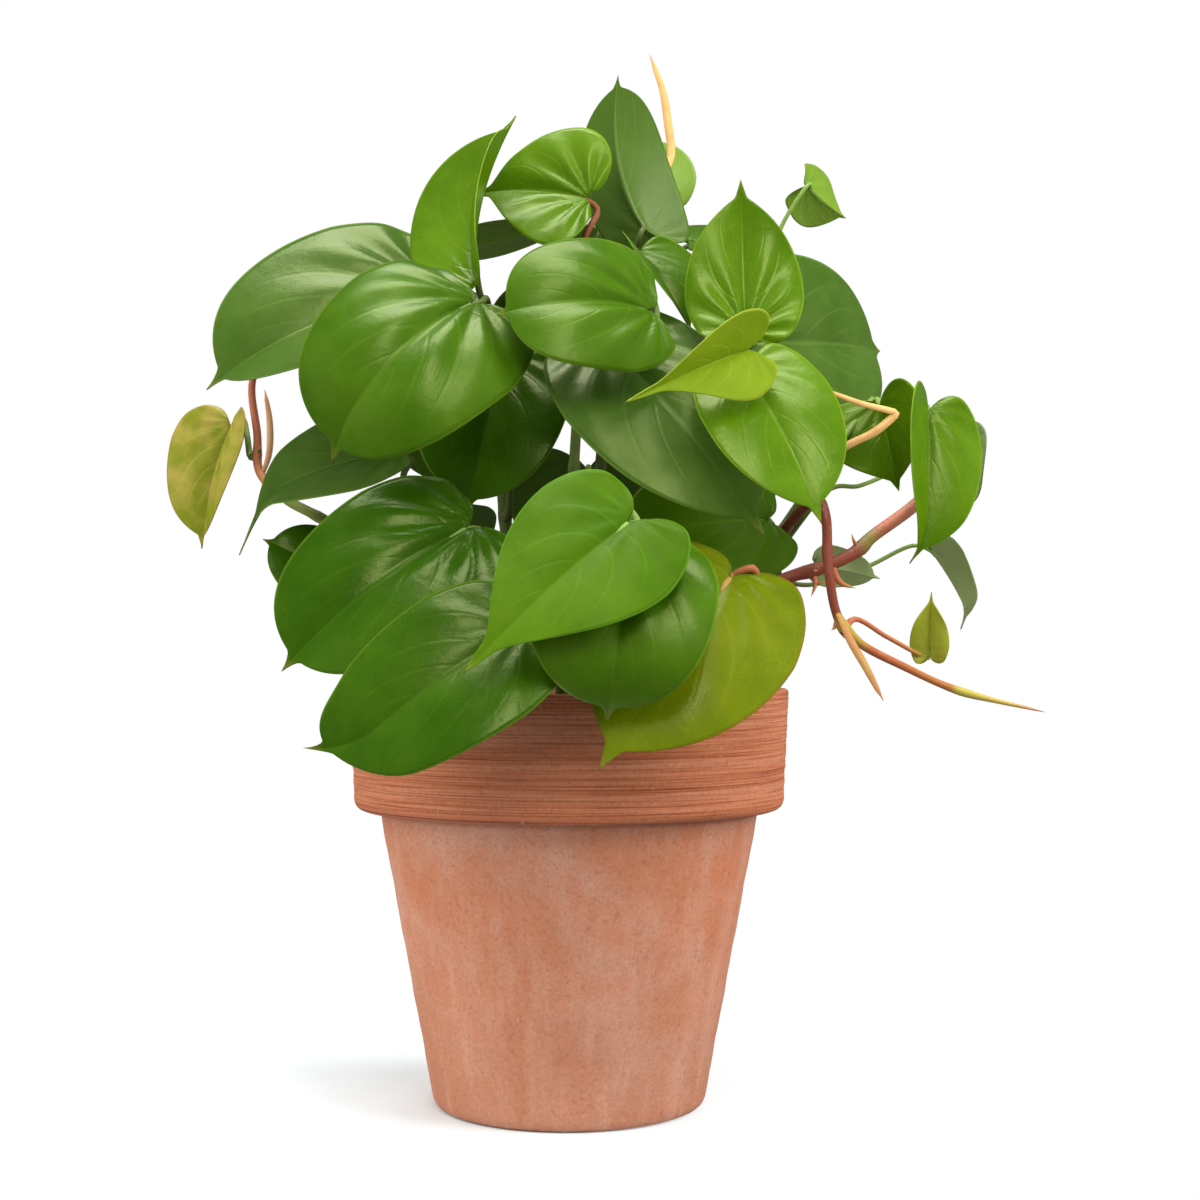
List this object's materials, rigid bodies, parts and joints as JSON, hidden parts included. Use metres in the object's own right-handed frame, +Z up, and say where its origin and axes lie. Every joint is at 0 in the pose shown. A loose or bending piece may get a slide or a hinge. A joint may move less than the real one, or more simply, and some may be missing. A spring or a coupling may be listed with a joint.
{
  "type": "potted heartleaf philodendron",
  "caption": "Leafy vines with glossy heart-shaped leaves that stand in soil and hang over the wide rim band of a round terracotta pot.",
  "frame": {"origin": "where the pot's axis meets the surface it stands on, at the middle of the plant's footprint", "axes": "+Z up along the pot's axis; -Y towards the viewer of the picture, which is the front; +X to the right, where the longest vine trails"},
  "size_m": [0.2993, 0.2229, 0.3712],
  "materials": {
    "terracotta": "matte",
    "soil": "matte",
    "vine_green": "satin",
    "vine_red": "satin",
    "leaf_deep": "satin",
    "leaf_mid": "satin",
    "leaf_bright": "satin",
    "leaf_lime": "satin",
    "leaf_olive": "satin",
    "leaf_bronze": "satin",
    "sheath": "matte"
  },
  "bodies": {
    "root": {"pot": "terracotta", "soil": "soil", "vine_left": "vine_green", "leaf_left_1": "leaf_bronze", "leaf_left_2": "leaf_mid", "leaf_left_3": "leaf_deep", "vine_upper_left": "vine_green", "leaf_upper_left_1": "leaf_deep", "leaf_upper_left_2": "leaf_mid", "leaf_upper_left_3": "leaf_bright", "leaf_upper_left_4": "leaf_deep", "vine_top": "vine_green", "leaf_top_1": "leaf_bright", "leaf_top_2": "leaf_deep", "leaf_top_3": "leaf_bright", "leaf_top_4": "leaf_mid", "leaf_top_5": "leaf_mid", "vine_upper_right": "vine_green", "leaf_upper_right_1": "leaf_bright", "leaf_upper_right_2": "leaf_deep", "leaf_upper_right_3": "leaf_mid", "leaf_upper_right_4": "leaf_lime", "leaf_upper_right_5": "leaf_deep", "leaf_upper_right_6": "leaf_bright", "leaf_upper_right_7": "leaf_mid", "vine_right": "vine_red", "leaf_right_1": "leaf_olive", "leaf_right_2": "leaf_bright", "leaf_right_4": "leaf_mid", "vine_trailing": "vine_red", "leaf_trailing_1": "leaf_lime", "leaf_trailing_2": "leaf_mid", "leaf_trailing_3": "leaf_bright", "leaf_right_3": "leaf_deep", "vine_front": "vine_green", "leaf_front_1": "leaf_bright", "leaf_front_2": "leaf_mid", "leaf_front_3": "leaf_deep", "leaf_front_4": "leaf_deep", "leaf_front_5": "leaf_mid", "vine_back_left": "vine_green", "leaf_back_left_1": "leaf_mid", "leaf_back_left_2": "leaf_deep", "leaf_back_left_3": "leaf_mid", "vine_back": "vine_green", "leaf_back_1": "leaf_mid", "leaf_back_2": "leaf_deep", "leaf_back_3": "leaf_mid", "leaf_back_4": "leaf_bright", "leaf_back_5": "leaf_bright", "vine_back_right": "vine_green", "leaf_back_right_1": "leaf_mid", "leaf_back_right_2": "leaf_deep", "leaf_back_right_3": "leaf_mid", "leaf_back_right_4": "leaf_deep", "sheath_left": "sheath", "sheath_top": "sheath", "sheath_right": "sheath", "sheath_trailing": "sheath"}
  },
  "joints": []
}
